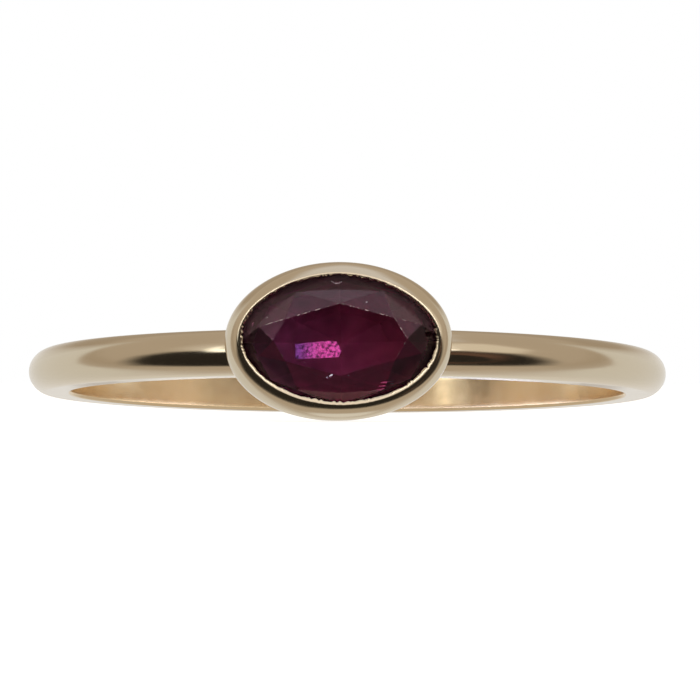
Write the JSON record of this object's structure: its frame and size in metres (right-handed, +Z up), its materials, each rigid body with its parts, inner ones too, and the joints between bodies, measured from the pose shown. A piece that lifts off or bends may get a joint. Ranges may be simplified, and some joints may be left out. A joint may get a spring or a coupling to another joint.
{
  "type": "gemstone ring",
  "caption": "Slim domed finger ring with an oval cut red stone set lengthwise across the finger in a smooth open-backed bezel, lying on its side.",
  "frame": {"origin": "centre of the ring's bounding box, on the surface that the ring lies on", "axes": "-Y out through the stone's table, +X along the stone's length, +Z up from the surface; the finger's axis leans about 4 degrees from +Z towards +Y"},
  "size_m": [0.0198, 0.0224, 0.0044],
  "materials": {
    "gold": "mirror-polished 14 karat yellow gold",
    "ruby": "polished facets, dark raspberry red"
  },
  "bodies": {
    "root": {"band_and_bezel": "gold", "ruby": "ruby"}
  },
  "joints": []
}
